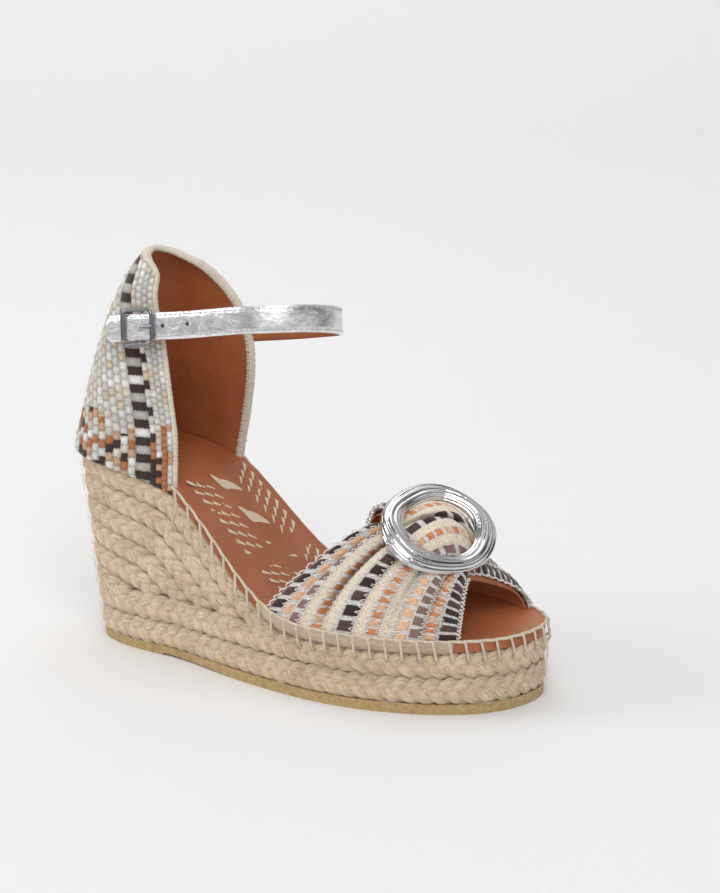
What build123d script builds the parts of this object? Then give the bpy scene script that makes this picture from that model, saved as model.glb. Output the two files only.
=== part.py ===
"""Closed-back espadrille wedge sandal, right foot, in millimetres.

+X points to the toe, +Y to the inner (medial) side, -Y to the outer (lateral) side, +Z up.
Everything is drawn with X = 0 at the rear of the heel's top edge and Z = 0 on the ground,
and the finished parts are moved together so that the origin is the middle of the footprint.
"""
from build123d import *
from math import cos, radians, sin
import os

# ---- driving dimensions -------------------------------------------------------------------
FOOT_LENGTH = 231.0        # rear of the heel to the tip of the sole
SOLE_TOP = 28.5            # platform height under the forefoot
RUBBER = 4.5               # rubber outsole
BRAID = 12.0               # height of a platform braid
BRAID_DEPTH = 7.0          # how far a braid goes into the sole
WEDGE_ROWS = 6             # braids between the platform and the heel seat
ROW_STEP = 11.0            # spacing of the wedge braids
ROW_TILT = 25.0            # direction in which the wedge braids step down, from vertical
HEEL_INSET = 11.7          # the heel's underside starts this far in front of its top edge
HEEL_TAPER = 0.21          # the heel's underside is this much narrower
LIFT_LENGTH = 57.0         # front end of the heel lift
LIFT_STEP = 1.2            # the shank's rubber hangs this far above the ground behind the ball
INSOLE = 4.5               # board, foam and leather sock together
BOARD = 1.5
LEATHER = 1.0
FABRIC = 1.6
STIFFENER = 1.0
PLY = FABRIC + STIFFENER + LEATHER
BINDING = 2.2              # rolled edge of the heel counter

# ankle strap
STRAP_WIDTH = 12.0
STRAP_FACE = 1.0
STRAP_THICK = 1.8
STRAP_PITCH = 9.45         # the strap rises towards the toe
STRAP_ROLL = 12.9          # and towards the outer side
STRAP_LOOP = 29.5          # half the distance between its two runs
STRAP_CENTRE = 51.5        # from the buckle's bar to the centre of the front curve
STRAP_HINGE = 21.5         # from the buckle's bar to the sewn end of the inner run
STRAP_SPLIT = 17.0         # the soft end that threads the buckle reaches this far forward
STRAP_TAIL = 17.5          # and this far behind the buckle's bar
HOLE_PITCH = 13.0
HOLE = 2.0
BUCKLE_AT = (50.2, -30.3, 154.0)

# buckle
WIRE = 0.85                # radius of the frame's wire
BAR = 0.7                  # radius of the bar that the prong turns on
FRAME_HALF = 7.65          # half of the frame, to the middle of its wire
BAR_DROP = 2.8             # bar below the middle of the strap
RAIL_RISE = 1.95           # frame above the middle of the strap
PRONG = 0.6                # radius of the prong

# ring and knot on the vamp
RING_AT = (188.5, -9.0, 76.0)
RING_FACING = (0.52, -0.40, 0.755)
RING_RADIUS = 19.6
RING_BAND = (4.4, 2.75)    # half width and half height of the ring's band
RING_OVAL = 1.06

# half widths of the sole at stations from the heel to the toe
STATIONS = (10, 30, 60, 90, 120, 150, 175, 200, 220)
LATERAL = (19.5, 29, 32, 36, 41.5, 45, 42.5, 34, 19.5)
MEDIAL = (19.5, 29.7, 31, 31, 33.5, 38.8, 42, 39.3, 29)
TOE = ((228.5, -5.0), (FOOT_LENGTH, 10.5), (227.5, 21.5))

# side profile of the wedge's top edge
SEAT = ((0, 92), (30, 88), (62, 80.8), (72, 74.5), (85, 62.8), (105, 43.8), (122, 32.4),
        (136, 29.0))
# heel counter: height, rear of the section, half width, length of its rounded rear
CUP = ((72, -3.2, 30.6, 30), (92, 0.6, 30.0, 29), (110, 5.4, 28.8, 28), (130, 10.8, 27.0, 26),
       (150, 17.6, 24.4, 23), (168, 25.6, 20.5, 19), (180, 33.5, 13.5, 13), (188, 42.0, 8.5, 8.5))
EDGE_LATERAL = ((66.0, 60), (66.6, 83), (66.3, 104), (63.2, 122), (57.6, 148), (51.8, 165))
EDGE_MEDIAL = ((64.0, 60), (66.5, 83), (72.0, 110), (74.8, 130), (73.6, 146), (67.5, 161))
EDGE_CROWN = ((50.0, 179.5), (40.0, 183.4), (20.0, 184.5))
# vamp: station, outer base, inner base, crown's side place and height
VAMP = ((108, 38.5, 31.5, -2, 50), (124, 41, 34, -4, 69), (142, 43, 36.5, -6, 77),
        (160, 43, 40, -8, 80.5), (178, 40.5, 41, -10, 77), (196, 34, 39.5, -10, 66),
        (216, 22, 30, -6, 50))
VAMP_SPLIT = -9.0          # the outer and inner fabric part here, under the knot
VAMP_REAR = ((119, 30), (122, 44), (131, 56), (145, 67), (160, 76.5), (170, 90))
VAMP_FRONT_LATERAL = ((206, 30), (207, 45), (207.5, 60), (206, 90))
VAMP_FRONT_MEDIAL = ((215, 30), (210, 41), (202.5, 49), (204, 90))

REACH = 120.0              # longer than anything that a cutter has to pass through


def unit(x, z):
    """A direction in the XZ plane, scaled to length one."""
    size = (x * x + z * z) ** 0.5
    return x / size, z / size


def offset_points(points, distance, closed):
    """Move each point sideways, to the left of the line's direction of travel."""
    count = len(points)
    moved = []
    for i, (x, z) in enumerate(points):
        before = points[i - 1] if closed or i else points[0]
        after = points[(i + 1) % count] if closed or i < count - 1 else points[-1]
        along, across = unit(after[0] - before[0], after[1] - before[1])
        moved.append((x - across * distance, z + along * distance))
    return moved


# ---- sole ---------------------------------------------------------------------------------
def outline(inset, at_ground):
    """Plan of the sole, wound clockwise from the rear, pulled in all round by the inset."""
    outer = [(x, -y) for x, y in zip(STATIONS, LATERAL)]
    inner = [(x, y) for x, y in zip(STATIONS, MEDIAL)]
    points = [(0.0, 0.0)] + outer + list(TOE) + inner[::-1]
    if at_ground:
        points = [ground_point(x, y) for x, y in points]
    return offset_points(points, inset, closed=True)


def ground_point(x, y):
    """The heel's underside is shorter and narrower than its top."""
    behind = max(0.0, (110 - x) / 110)
    taper = min(1.0, max(0.0, (100 - x) / 50))
    return x + HEEL_INSET * behind * (1 - 0.3 * x / 110), y * (1 - HEEL_TAPER * taper)


walls = {}


def wall(inset):
    """Solid inside the sole's outer wall, pulled in by the inset, from below ground to the cup."""
    if inset not in walls:
        low = Plane.XY.offset(-5) * make_face(Spline(*outline(inset, True), periodic=True))
        high = Plane.XY.offset(95) * make_face(Spline(*outline(inset, False), periodic=True))
        walls[inset] = loft([low, high], ruled=True)
    return walls[inset]


def profile(rise, step=0.0):
    """Side view of the wedge's top edge as an edge: lifted square to itself, or stepped down."""
    points = [(-20.0, 94.0), *SEAT]
    if rise:
        points = offset_points(points, rise, closed=False)
    level = SOLE_TOP + rise
    back, down = step * sin(radians(ROW_TILT)), step * cos(radians(ROW_TILT))
    points = [(x - back, z - down) for x, z in points]
    level -= down
    curve = Spline(*points, (152 - back, level), tangents=[(1, -0.12), (1, 0)])
    start = Line((-60, points[0][1] + 3), points[0])
    return [start, curve, Line((152 - back, level), (290, level))]


def side_region(edges, height):
    """Face in side view between a left-to-right chain of edges and a level line."""
    first, last = edges[0] @ 0, edges[-1] @ 1
    rim = Polyline(last, (last.X, height), (first.X, height), first)
    return make_face(edges + [rim])


def sideways(face, low=-REACH, high=REACH):
    """Extrude a side-view face across the sandal, from one Y to another."""
    flat = Plane((0, high, 0), x_dir=(1, 0, 0), z_dir=(0, -1, 0)) * face
    return extrude(flat, amount=high - low)


def above(rise, step=0.0):
    return sideways(side_region(profile(rise, step), 400))


def layer(low, high):
    """Everything between two lifts of the wedge's top edge."""
    return above(low) - above(high)


def slab(z_low, z_high, x_low=-60, x_high=290):
    size = (x_high - x_low, 2 * REACH, z_high - z_low)
    return Pos((x_low + x_high) / 2, 0, (z_low + z_high) / 2) * Box(*size)


def biggest(shape):
    return max(shape.solids(), key=lambda solid: solid.volume)


def make_rubber():
    """Rubber under the whole sole: a lift at the heel, and an outsole that rises at the shank."""
    tread = wall(1.0) & slab(0, RUBBER)
    lift = tread & slab(-1, RUBBER + 1, x_high=LIFT_LENGTH)
    arch = Polyline((LIFT_LENGTH, -1), (LIFT_LENGTH, LIFT_STEP), (108, 0), (108, -1), close=True)
    sole = tread & slab(-1, RUBBER + 1, x_low=LIFT_LENGTH)
    return biggest(lift), biggest(sole - sideways(make_face(arch)))


def make_braids():
    """Jute braids: two round the platform and six up the wedge."""
    ring = wall(0.0) - wall(BRAID_DEPTH)
    braids = {
        "platform_braid_lower": ring & slab(RUBBER, RUBBER + BRAID),
        "platform_braid_upper": ring & slab(RUBBER + BRAID, SOLE_TOP),
    }
    wedge = ring & slab(SOLE_TOP, 120, x_high=128)
    for row in range(WEDGE_ROWS):
        below = above(0, ROW_STEP * (row + 1)) if row < WEDGE_ROWS - 1 else slab(0, 200)
        braids[f"wedge_braid_{row + 1}"] = wedge & (below - above(0, ROW_STEP * row))
    return {name: biggest(braid) for name, braid in braids.items()}


def make_core():
    return biggest((wall(BRAID_DEPTH) & slab(RUBBER, 120)) - above(0))


def make_insole(cup, cup_room):
    """Board, foam and the leather sock that wraps both and covers their edge."""
    inside = wall(2.0)
    board = inside & layer(0, BOARD)
    foam = inside & layer(BOARD, INSOLE - LEATHER)
    whole = wall(1.0) & layer(0, INSOLE)
    sock = whole - (inside & layer(-1, INSOLE - LEATHER))
    behind = slab(60, 200, x_high=66.2) - cup_room
    trimmed = [biggest(part - cup - behind) for part in (board, foam, sock)]
    return trimmed


# ---- heel counter -------------------------------------------------------------------------
def cup_section(height, rear, half, depth, inset):
    """U-shaped plan of the heel counter at one height, closed far in front of the edge."""
    rear, half, depth = rear + inset, half - inset, depth - inset
    turns = [radians(angle) for angle in range(-90, 91, 30)]
    arc = [(rear + depth * (1 - cos(turn)), half * sin(turn)) for turn in turns]
    curve = Spline(*arc, tangents=[(-1, 0), (1, 0)])
    front = Polyline(curve @ 1, (110, half), (110, -half), curve @ 0)
    return Plane.XY.offset(height) * make_face([curve, front])


cups = {}


def cup_solid(inset):
    if inset not in cups:
        cups[inset] = loft([cup_section(*row, inset) for row in CUP])
    return cups[inset]


def cup_edge(side, grow):
    """Front and top edge of the counter on one side, in side view, grown outwards."""
    points = [*side, *EDGE_CROWN]
    return offset_points(points, -grow, closed=False)


def cup_area(grow, low=50):
    """Everything behind the counter's edge, with a different edge on each side."""
    halves = []
    for side, low_y, high_y in ((EDGE_LATERAL, -REACH, 0), (EDGE_MEDIAL, 0, REACH)):
        points = cup_edge(side, grow)
        rim = Polyline(points[-1], (-40, points[-1][1]), (-40, low), (points[0][0], low), points[0])
        halves.append(sideways(make_face([Spline(*points), rim]), low_y, high_y))
    return halves[0] + halves[1]


def make_counter():
    """Woven fabric outside, a stiffener, a leather lining and the rolled edge that joins them."""
    standing = above(0)
    area = cup_area(-BINDING) & standing
    shells = []
    for outer, inner in ((0.0, FABRIC), (FABRIC, FABRIC + STIFFENER), (FABRIC + STIFFENER, PLY)):
        shells.append((cup_solid(outer) - cup_solid(inner)) & area)
    low_and_back = cup_area(-9) & slab(60, 158)
    shells[1] = shells[1] & low_and_back
    edge = (cup_area(0) & standing) - cup_area(-BINDING)
    binding = (cup_solid(-0.5) - cup_solid(PLY + 0.5)) & edge
    return [biggest(shell) for shell in (*shells, binding)]


# ---- vamp ---------------------------------------------------------------------------------
def vamp_section(station, outer, inner, side, crown, inset):
    """Arch over the foot at one station, closed below the sole's top."""
    base = 20.0
    lift = crown - SOLE_TOP
    shoulder = SOLE_TOP + lift * 0.55
    points = [
        (-outer + inset, base), (-outer + inset, SOLE_TOP + 4),
        (-outer * 0.84 + inset * 0.9, shoulder), (side - outer * 0.26, crown - lift * 0.07 - inset),
        (side + inner * 0.22, crown - lift * 0.04 - inset), (inner * 0.8 - inset * 0.9, shoulder),
        (inner - inset, SOLE_TOP + 4), (inner - inset, base),
    ]
    curve = Spline(*points[1:-1])
    face = make_face([Line(points[0], points[1]), curve, Line(points[-2], points[-1]),
                      Line(points[-1], points[0])])
    return Plane((station, 0, 0), x_dir=(0, 1, 0), z_dir=(1, 0, 0)) * face


def vamp_solid(inset):
    return loft([vamp_section(*row, inset) for row in VAMP])


def vamp_area(front, low_y, high_y):
    """Side view of one half of the vamp, between its rear and front edges."""
    rear = Spline(*VAMP_REAR)
    ahead = Spline(*front)
    rim = [Line(rear @ 1, ahead @ 1), Line(rear @ 0, ahead @ 0)]
    return sideways(make_face([rear, ahead, *rim]), low_y, high_y)


def ring_plane():
    return Plane(RING_AT, x_dir=(0.61, 0.79, 0), z_dir=RING_FACING)


def make_vamp():
    """Gathered fabric and its lining on each side, cut away where the knot gathers them."""
    outer, middle, inner = vamp_solid(0), vamp_solid(FABRIC), vamp_solid(FABRIC + LEATHER)
    standing = above(INSOLE)
    knot_room = ring_plane() * Cylinder(22.4, 60)
    parts = []
    for ply in (outer - middle, middle - inner):
        for front, low_y, high_y in ((VAMP_FRONT_LATERAL, -REACH, VAMP_SPLIT - 0.2),
                                     (VAMP_FRONT_MEDIAL, VAMP_SPLIT + 0.2, REACH)):
            side = (ply & vamp_area(front, low_y, high_y) & standing) - knot_room
            parts.append(biggest(side))
    return parts


def make_tapes():
    """Tape along the sole's edge under each side of the vamp."""
    band = (wall(-0.6) - wall(1.0)) & layer(0, INSOLE + 0.5)
    lateral = band & slab(0, 80, 117, 207) & sideways(Pos(150, 50) * Rectangle(300, 200), -REACH, 0)
    medial = band & slab(0, 80, 118, 214) & sideways(Pos(150, 50) * Rectangle(300, 200), 0, REACH)
    return biggest(lateral), biggest(medial)


def make_edge_stitching(cup):
    """Running line of the blanket stitch on the insole's rim, from the counter round the toe."""
    line = (wall(0.6) - wall(2.0)) & layer(INSOLE, INSOLE + 1.2)
    toe = line & slab(0, 120, 216.5, 300)
    flanks = line & slab(0, 120, 68.5, 116)
    return Compound([biggest(toe), *(flanks - cup).solids()])


def make_ring():
    """Oval metal ring with a lens-shaped band."""
    band = revolve(Plane.XZ * Pos(RING_RADIUS, 0) * Ellipse(*RING_BAND), Axis.Z)
    return ring_plane() * scale(band, (RING_OVAL, 1, 1))


def make_knot():
    """Gathered fabric that spreads under the ring and stands up through it."""
    spread = Pos(0, 0, -7.2) * Cylinder(22, 8)
    stem = Pos(0, 0, -1.6) * Cylinder(13.4, 3.2)
    crown = scale(Sphere(13.4), (1, 1, 0.6)) & Pos(0, 0, 10) * Box(60, 60, 20)
    return ring_plane() * (spread + stem + crown)


# ---- ankle strap and buckle ---------------------------------------------------------------
def strap_plane():
    """Plane of the strap's loop: x forward along the outer run, y inwards, z across the strap."""
    slope_x = sin(radians(STRAP_PITCH)) / cos(radians(STRAP_PITCH))
    slope_y = -sin(radians(STRAP_ROLL)) / cos(radians(STRAP_ROLL))
    forward = (cos(radians(STRAP_PITCH)), 0, sin(radians(STRAP_PITCH)))
    return Plane(BUCKLE_AT, x_dir=forward, z_dir=(-slope_x, -slope_y, 1))


def strap_band(low, high, x_start, x_hinge):
    """Open loop between two distances from its middle line, as wide as the strap."""
    def loop_face(radius):
        disc = Pos(STRAP_CENTRE, STRAP_LOOP) * Circle(radius)
        runs = Pos(STRAP_CENTRE - 60, STRAP_LOOP) * Rectangle(120, 2 * radius)
        front = Pos(STRAP_CENTRE + 60, STRAP_LOOP) * Rectangle(120, 200)
        return runs + (disc & front)
    band = loop_face(STRAP_LOOP + high) - loop_face(STRAP_LOOP + low)
    outer_run = Pos(x_start - 100, 0) * Rectangle(200, 40)
    inner_run = Pos(x_hinge - 100, 2 * STRAP_LOOP) * Rectangle(200, 40)
    band = band - outer_run - inner_run
    solid = extrude(Plane.XY.offset(-STRAP_WIDTH / 2) * band, amount=STRAP_WIDTH)
    return solid


def hole(x):
    return Pos(x, 0, 0) * Rot(90, 0, 0) * Cylinder(HOLE / 2, 12)


def make_strap():
    """Metallic leather and its lining, the punched end, and the end sewn to the counter."""
    half = STRAP_THICK / 2
    here = strap_plane()
    hinge = STRAP_HINGE + 0.3
    face = strap_band(half - STRAP_FACE, half, STRAP_SPLIT, hinge)
    lining = strap_band(-half, half - STRAP_FACE, STRAP_SPLIT, hinge)
    reach = STRAP_SPLIT + STRAP_TAIL
    tip = fillet((Pos((STRAP_SPLIT - STRAP_TAIL) / 2, 0, 0) * Box(reach, STRAP_THICK, STRAP_WIDTH))
                 .edges().filter_by(Axis.Y).group_by(Axis.X)[0], 3)
    slot = Pos(1.6, 0, 0) * Box(3.6, 6, 2.4)
    end = tip - slot - hole(HOLE_PITCH)
    band = here * (Pos(STRAP_HINGE - 13, 2 * STRAP_LOOP, 0) * Box(26, 24, STRAP_WIDTH))
    anchor = (cup_solid(-STRAP_THICK - 0.6) - cup_solid(-0.6)) & band
    lining = biggest(here * lining - cup_solid(-0.9))
    return here * face, lining, here * end, biggest(anchor)


def make_buckle():
    """Square frame with a dropped bar, the prong that turns on the bar, and the sewn tab."""
    here = strap_plane()
    side = 2 * FRAME_HALF
    rounded = Plane.XZ * RectangleRounded(side, side, 2.6)
    path = rounded.wire()
    start = Plane(path @ 0, z_dir=path % 0)
    ring = Pos(0, -RAIL_RISE, 0) * sweep(start * Circle(WIRE), path=path)
    bar = Pos(0, BAR_DROP, 0) * Cylinder(BAR, side + 1.3)
    leg = Rot(90, 0, 0) * Cylinder(BAR - 0.15, BAR_DROP + RAIL_RISE)
    legs = [Pos(0, (BAR_DROP - RAIL_RISE) / 2, z) * leg for z in (-FRAME_HALF, FRAME_HALF)]
    frame = ring + bar + legs
    eye = Cylinder(1.5, 1.4) - Cylinder(BAR + 0.15, 3)
    line = Polyline((1.1, 2.5, 0), (1.75, -1.3, 0), (3.2, -2.85, 0), (9.3, -3.75, 0))
    shank = sweep(Plane(line @ 0, z_dir=line % 0) * Circle(PRONG), path=line, transition=Transition.ROUND)
    clear = Pos(0, BAR_DROP, 0) * Cylinder(BAR + 0.15, 6)
    prong = (Pos(0, BAR_DROP, 0) * eye + shank) - clear
    return here * frame, here * biggest(prong)


def make_buckle_tab():
    """Leather tab sewn to the counter, looped round the bar with a gap for the prong."""
    here = strap_plane()
    loop = Pos(0, BAR_DROP, 0) * (Cylinder(BAR + 1.0, 10) - Cylinder(BAR + 0.2, 12))
    foot = Pos(-1.0, BAR_DROP + 1.6, 0) * Box(2.6, 1.9, 10)
    patch = here * (Pos(-7.0, 6, 0) * Box(17, 14, 10)) & (cup_solid(-0.9) - cup_solid(-0.02))
    gap = here * (Pos(0, BAR_DROP, 0) * Box(6, 3.8, 2.4))
    bore = here * (Pos(0, BAR_DROP, 0) * Cylinder(BAR + 0.2, 14))
    bridge = here * (Pos(-1.0, BAR_DROP + 2.2, 0) * Box(3.0, 3.2, 10)) - cup_solid(-0.02)
    return biggest((here * loop + here * foot + patch + bridge) - gap - bore)


# ---- assembly -----------------------------------------------------------------------------
def make_parts():
    lift, sole = make_rubber()
    fabric, stiffener, lining, binding = make_counter()
    cup = cup_solid(-0.5) - cup_solid(PLY + 0.5)
    board, foam, sock = make_insole(cup & (cup_area(0) & above(-2)), cup_solid(PLY + 0.5))
    vamp = make_vamp()
    tapes = make_tapes()
    face, strap_lining, end, anchor = make_strap()
    frame, prong = make_buckle()
    parts = {
        "heel_lift": lift, "rubber_outsole": sole, "wedge_core": make_core(), **make_braids(),
        "insole_board": board, "insole_foam": foam, "sock_liner": sock,
        "edge_stitching": make_edge_stitching(cup),
        "vamp_edge_tape_lateral": tapes[0], "vamp_edge_tape_medial": tapes[1],
        "counter_fabric": fabric, "counter_stiffener": stiffener, "counter_lining": lining,
        "counter_binding": binding,
        "vamp_fabric_lateral": vamp[0], "vamp_fabric_medial": vamp[1],
        "vamp_lining_lateral": vamp[2], "vamp_lining_medial": vamp[3],
        "vamp_knot": make_knot(), "vamp_ring": make_ring(),
        "strap_anchor": anchor, "strap_face": face, "strap_lining": strap_lining, "strap_end": end,
        "buckle_tab": make_buckle_tab(), "buckle_frame": frame, "buckle_prong": prong,
    }
    return parts


def export_all(parts):
    """Put the origin in the middle of the footprint and write one file per part."""
    os.makedirs("parts", exist_ok=True)
    box = Compound([solid for part in parts.values() for solid in part.solids()]).bounding_box()
    home = Pos(-(box.min.X + box.max.X) / 2, -(box.min.Y + box.max.Y) / 2, -box.min.Z)
    for name, part in parts.items():
        export_step(home * part, f"parts/{name}.step")
    here = home * strap_plane().location
    plane = Plane(here)
    hinge = plane.from_local_coords((STRAP_HINGE, 2 * STRAP_LOOP + STRAP_THICK / 2, 0))
    bar = plane.from_local_coords((0, BAR_DROP, 0))
    print("size", box.size, "moved by", home.position)
    print("strap hinge", hinge, "bar", bar, "axis", plane.z_dir)


export_all(make_parts())
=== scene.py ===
# %% [markdown]
# A wedge sandal is a lesson in covering one smooth body with many kinds of cloth and cord.
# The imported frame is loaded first. It holds the plain solids and the joints, and every
# visible piece below is drawn in the same coordinates, so nothing has to be fitted later.

# %% Load the frame
import bmesh
import bpy
import math
import numpy as np
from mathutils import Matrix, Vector


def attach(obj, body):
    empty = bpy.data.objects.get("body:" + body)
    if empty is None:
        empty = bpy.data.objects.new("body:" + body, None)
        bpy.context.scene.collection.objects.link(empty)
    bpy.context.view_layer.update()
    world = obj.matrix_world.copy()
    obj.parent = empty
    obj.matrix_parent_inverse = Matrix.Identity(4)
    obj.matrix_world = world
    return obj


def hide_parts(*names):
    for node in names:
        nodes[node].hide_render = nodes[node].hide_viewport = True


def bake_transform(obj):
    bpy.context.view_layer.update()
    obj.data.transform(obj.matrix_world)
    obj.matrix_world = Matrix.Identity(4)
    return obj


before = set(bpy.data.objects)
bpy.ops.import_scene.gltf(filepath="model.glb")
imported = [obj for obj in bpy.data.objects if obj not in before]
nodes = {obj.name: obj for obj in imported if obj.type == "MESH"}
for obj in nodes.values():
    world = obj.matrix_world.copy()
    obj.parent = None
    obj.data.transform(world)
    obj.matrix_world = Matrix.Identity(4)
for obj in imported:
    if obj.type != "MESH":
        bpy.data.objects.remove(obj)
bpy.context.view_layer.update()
rng = np.random.default_rng(7)
MM = 0.001

# %% [markdown]
# The sole's plan and side view are two short lists of stations in millimetres, measured from
# the rear of the heel's top edge. A Catmull-Rom curve through them gives smooth arrays.
# HOME is the fixed shift from there to the frame's own origin.

# %% Driving stations
STATIONS = np.array([10, 30, 60, 90, 120, 150, 175, 200, 220.0])
LATERAL = np.array([19.5, 29, 32, 36, 41.5, 45, 42.5, 34, 19.5])
MEDIAL = np.array([19.5, 29.7, 31, 31, 33.5, 38.8, 42, 39.3, 29])
TOE = [(228.5, -5.0), (231.0, 10.5), (227.5, 21.5)]
SEAT = [(-20, 94), (0, 92), (30, 88), (62, 80.8), (72, 74.5), (85, 62.8), (105, 43.8),
        (122, 32.4), (136, 29), (152, 28.5), (240, 28.5)]
SOLE_TOP, INSOLE = 28.5, 4.5
ROW_STEP, ROW_TILT = 11.0, math.radians(25)
HOME = np.array([-115.668, 1.456, 0.0])


def catmull_rom(a, b, c, d, part):
    """Cubic from b to c whose end slopes are half the chords from a to c and from b to d."""
    return 0.5 * (2 * b + (c - a) * part + (2 * a - 5 * b + 4 * c - d) * part ** 2
                  + (3 * b - a - 3 * c + d) * part ** 3)


def curve_through(points, count, closed=False):
    """Catmull-Rom curve through the points, with count points spread evenly over its spans."""
    knots = np.asarray(points, float)
    if closed:
        knots = np.vstack([knots[-1:], knots, knots[:2]])
    else:
        knots = np.vstack([2 * knots[:1] - knots[1:2], knots, 2 * knots[-1:] - knots[-2:-1]])
    spans = len(knots) - 3
    at = np.linspace(0, spans, count, endpoint=not closed)
    index = np.minimum(at.astype(int), spans - 1)
    part = (at - index)[:, None]
    return catmull_rom(*(knots[index + shift] for shift in range(4)), part)


SEAT_LINE = curve_through(SEAT, 600)


def seat_height(x, step=0.0):
    """Height of the wedge's top edge at x, or of the same edge stepped down and back."""
    back, down = step * math.sin(ROW_TILT), step * math.cos(ROW_TILT)
    return np.interp(x + back, SEAT_LINE[:, 0], SEAT_LINE[:, 1]) - down


def ground_plan(points):
    """The heel's underside is 11.7 mm shorter and a fifth narrower than its top."""
    x, y = points[:, 0], points[:, 1]
    behind = np.clip((110 - x) / 110, 0, 1)
    taper = np.clip((100 - x) / 50, 0, 1)
    return np.stack([x + 11.7 * behind * (1 - 0.3 * x / 110), y * (1 - 0.21 * taper)], axis=1)


plan_knots = np.array([(0, 0), *zip(STATIONS, -LATERAL), *TOE, *zip(STATIONS[::-1], MEDIAL[::-1])])
RIM = 2400
top_plan = curve_through(plan_knots, RIM, closed=True)
low_plan = curve_through(ground_plan(plan_knots), RIM, closed=True)
walk = np.linalg.norm(np.diff(np.vstack([top_plan, top_plan[:1]]), axis=0), axis=1)
PERIMETER = walk.sum()
even = np.interp(np.linspace(0, PERIMETER, RIM, endpoint=False), np.cumsum(walk) - walk,
                 np.arange(RIM))


def pick(plan, at):
    """Points of a closed plan at fractional indices."""
    low = np.floor(at).astype(int)
    part = (at - low)[:, None]
    return plan[low % RIM] * (1 - part) + plan[(low + 1) % RIM] * part


top_plan, low_plan = pick(top_plan, even), pick(low_plan, even)
ahead = np.roll(top_plan, -3, axis=0) - np.roll(top_plan, 3, axis=0)
plan_out = np.stack([ahead[:, 1], -ahead[:, 0]], axis=1)
plan_out /= np.linalg.norm(plan_out, axis=1)[:, None]
print("perimeter of the sole's top", round(PERIMETER, 1), "mm")


def wall_point(along, z, inset=0.0):
    """Point of the sole's outer wall: a straight line from the ground plan to the top plan,
    at a distance along the rim in mm and at height z, pulled in by the inset."""
    at = np.mod(np.asarray(along, float) / PERIMETER * RIM, RIM)
    z = np.broadcast_to(np.asarray(z, float), at.shape)
    mix = ((z + 5) / 100)[:, None]
    flat = pick(low_plan, at) * (1 - mix) + pick(top_plan, at) * mix
    out = pick(plan_out, at)
    flat = flat - out * np.broadcast_to(np.asarray(inset, float), at.shape)[:, None]
    return np.column_stack([flat, z]), np.column_stack([out, np.zeros(len(out))])


def seat_point(along, rise=0.0, inset=0.0, step=0.0):
    """Point of the wall on the wedge's top edge or on a row below it, found by repetition."""
    z = np.full(np.shape(along), 60.0)
    for _ in range(25):
        spot, out = wall_point(along, z, inset)
        z = 0.5 * z + 0.5 * (seat_height(spot[:, 0], step) + rise)
    return wall_point(along, z, inset)


# %% [markdown]
# One helper turns any grid of points into a mesh. Patterns that belong to a surface, such as
# the colours of a weave, and painted shade go into a colour attribute, distances into its UV map.

# %% Mesh helpers
def to_frame(points):
    return (np.asarray(points, float) + HOME) * MM


def grid_faces(rows, columns, wrap_rows, wrap_columns, start=0):
    """Quads between neighbouring grid points, wrapping round where a direction is closed."""
    last_row = rows if wrap_rows else rows - 1
    last_column = columns if wrap_columns else columns - 1
    i, j = np.meshgrid(np.arange(last_row), np.arange(last_column), indexing="ij")
    i2, j2 = (i + 1) % rows, (j + 1) % columns
    quads = np.stack([i * columns + j, i2 * columns + j, i2 * columns + j2, i * columns + j2], -1)
    return quads.reshape(-1, 4) + start


def make_object(name, points, quads, uv, tint):
    """Mesh object from arrays of points and quads, with a UV pair and a colour per point."""
    mesh = bpy.data.meshes.new(name)
    mesh.vertices.add(len(points))
    mesh.vertices.foreach_set("co", to_frame(points).ravel())
    mesh.loops.add(quads.size)
    mesh.loops.foreach_set("vertex_index", quads.ravel())
    mesh.polygons.add(len(quads))
    mesh.polygons.foreach_set("loop_start", np.arange(0, quads.size, 4))
    mesh.polygons.foreach_set("use_smooth", np.ones(len(quads), bool))
    mesh.update(calc_edges=True)
    layer = mesh.uv_layers.new(name="run")
    layer.data.foreach_set("uv", uv[quads.ravel()].ravel())
    colours = np.column_stack([tint, np.ones(len(tint))])
    tints = mesh.attributes.new("tint", "FLOAT_COLOR", "POINT")
    tints.data.foreach_set("color", colours.ravel())
    piece = bpy.data.objects.new(name, mesh)
    bpy.context.scene.collection.objects.link(piece)
    return piece


class Heap:
    """Collects many grids into one mesh. A tint is one colour or a colour per point."""

    def __init__(self):
        self.points, self.quads, self.uv, self.tint, self.size = [], [], [], [], 0

    def add(self, grid, wrap_rows=False, wrap_columns=False, uv=None, tint=1.0):
        rows, columns = grid.shape[:2]
        self.quads.append(grid_faces(rows, columns, wrap_rows, wrap_columns, self.size))
        self.points.append(grid.reshape(-1, 3))
        uv = np.zeros((rows, columns, 2)) if uv is None else np.stack(uv, -1)
        self.uv.append(uv.reshape(-1, 2))
        self.tint.append(np.broadcast_to(tint, grid.shape).reshape(-1, 3))
        self.size += rows * columns

    def cord(self, path, out, wide, thick, sides, tint):
        """Add a tube with closed ends."""
        self.add(capped(tube(path, out, wide, thick, sides)), False, True, tint=tint)

    def build(self, name):
        return make_object(name + "_made", np.vstack(self.points), np.vstack(self.quads),
                           np.vstack(self.uv), np.vstack(self.tint))


def from_grid(name, grid, *wraps, **more):
    """Mesh object of one grid alone."""
    heap = Heap()
    heap.add(grid, *wraps, **more)
    return heap.build(name)


def unit(vectors):
    return vectors / np.maximum(np.linalg.norm(vectors, axis=-1, keepdims=True), 1e-9)


def headings(path, closed=False):
    """Unit direction of travel at each point of a path."""
    if closed:
        return unit(np.roll(path, -1, axis=0) - np.roll(path, 1, axis=0))
    return unit(np.gradient(path, axis=0))


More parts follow.
